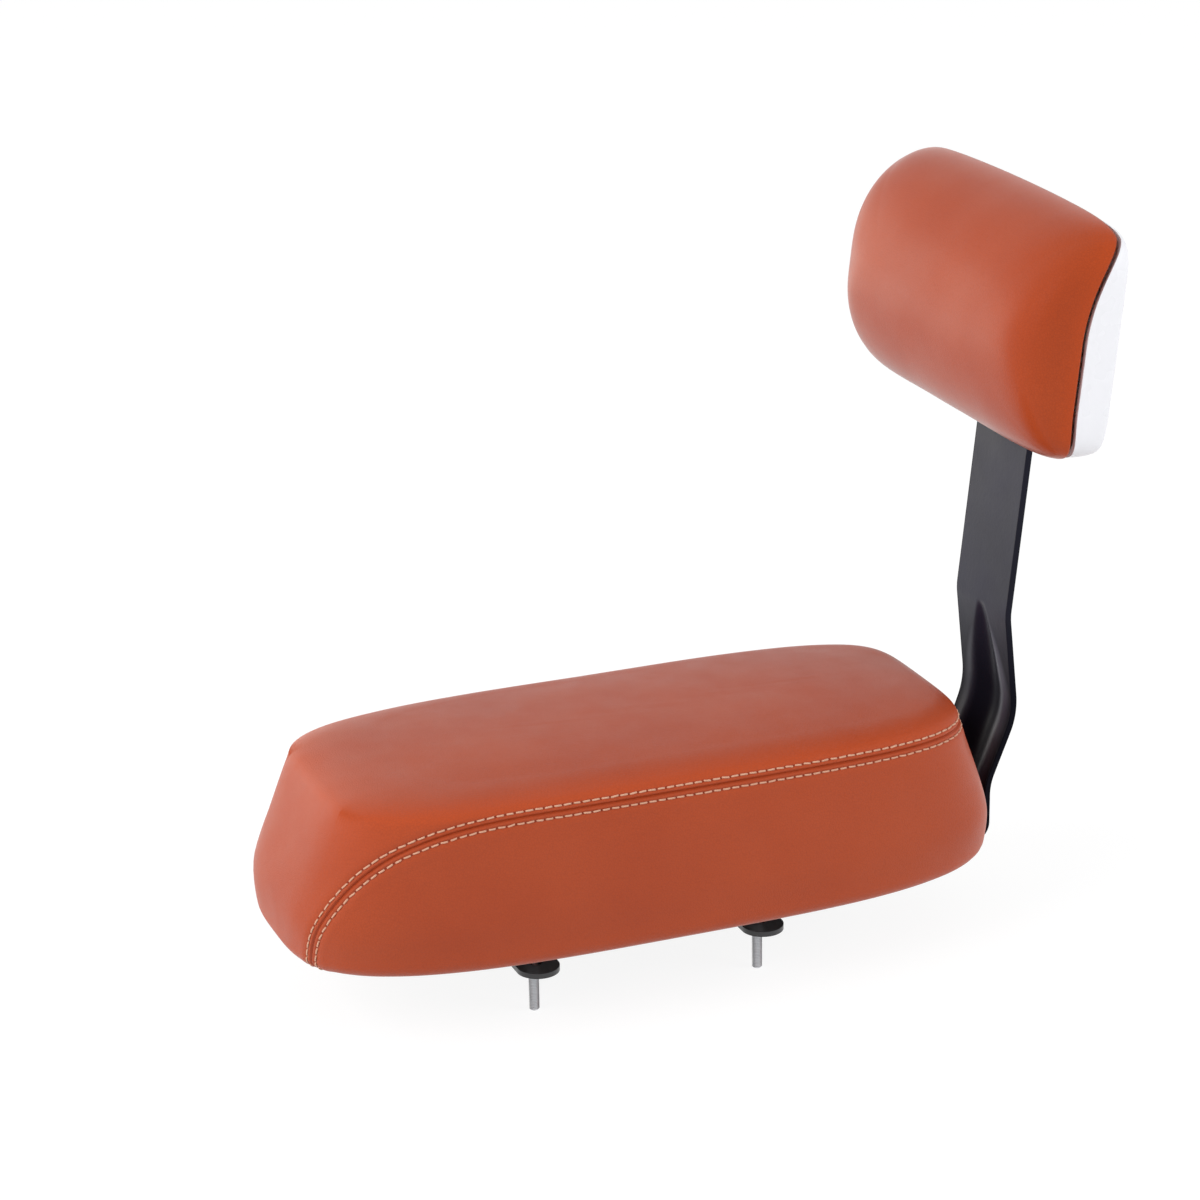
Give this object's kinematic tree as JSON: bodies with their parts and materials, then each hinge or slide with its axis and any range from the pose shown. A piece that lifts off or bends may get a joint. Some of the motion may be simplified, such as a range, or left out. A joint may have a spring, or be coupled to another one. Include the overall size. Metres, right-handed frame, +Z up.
{
  "type": "bicycle rear seat cushion",
  "caption": "Padded brown rear cushion with a stitched waterfall nose, on a moulded pan with rail clamps, and a small backrest on a bent flat bar.",
  "frame": {"origin": "middle of the pan's flat underside, the face that sits on the rack", "axes": "+X to the back of the bicycle, where the backrest stands; +Y to the rider's right; +Z up"},
  "size_m": [0.3883, 0.201, 0.3518],
  "materials": {
    "seat_leather": "smooth imitation leather, satin",
    "back_leather": "smooth imitation leather, satin",
    "foam": "open-cell foam, matt",
    "pan_plastic": "moulded, fine texture",
    "shell_plastic": "moulded, satin",
    "bar_paint": "black paint, satin",
    "black_steel": "black paint, satin",
    "zinc_steel": "zinc plated",
    "insert_brass": "turned",
    "plywood": "sawn"
  },
  "bodies": {
    "root": {"base_pan": "pan_plastic", "pan_inserts": "insert_brass", "seat_foam": "foam", "seat_side_band": "seat_leather", "seat_top_panel": "seat_leather", "clamp_bolts": "zinc_steel", "clamp_strip_front": "black_steel", "clamp_strip_rear": "black_steel", "clamp_washers": "zinc_steel", "clamp_nuts": "zinc_steel", "back_bar": "bar_paint", "foot_washers": "zinc_steel", "foot_bolts": "zinc_steel", "backrest_shell": "shell_plastic", "backrest_board": "plywood", "backrest_tee_nuts": "zinc_steel", "backrest_foam": "foam", "backrest_cover": "back_leather", "shell_screws": "zinc_steel", "backrest_washers": "zinc_steel", "backrest_bolts": "zinc_steel"}
  },
  "joints": []
}
